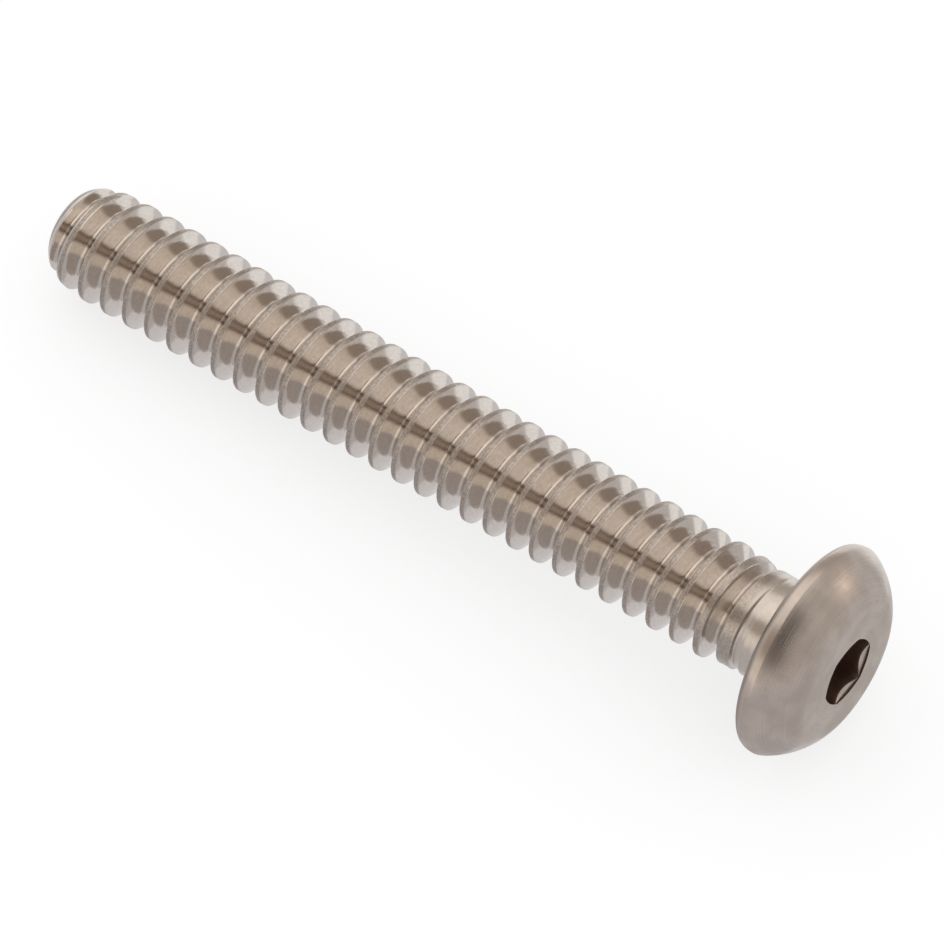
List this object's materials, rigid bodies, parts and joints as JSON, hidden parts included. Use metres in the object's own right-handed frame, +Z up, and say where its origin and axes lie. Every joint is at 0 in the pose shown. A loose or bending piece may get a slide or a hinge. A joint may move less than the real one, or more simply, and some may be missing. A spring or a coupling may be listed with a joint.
{
  "type": "button head machine screw",
  "caption": "Stainless button head machine screw with a hex socket, a low domed head, a short plain neck and a rolled thread to the point, lying at rest",
  "frame": {"origin": "on the ground below the middle of the screw as it lies", "axes": "+Z up, +X along the screw towards its head, +Y across"},
  "size_m": [0.0272, 0.0064, 0.0064],
  "materials": {
    "stainless": "plain 18-8 stainless: bright rolled thread, fine turned rings on the head"
  },
  "bodies": {
    "root": {"machine_screw": "stainless"}
  },
  "joints": []
}
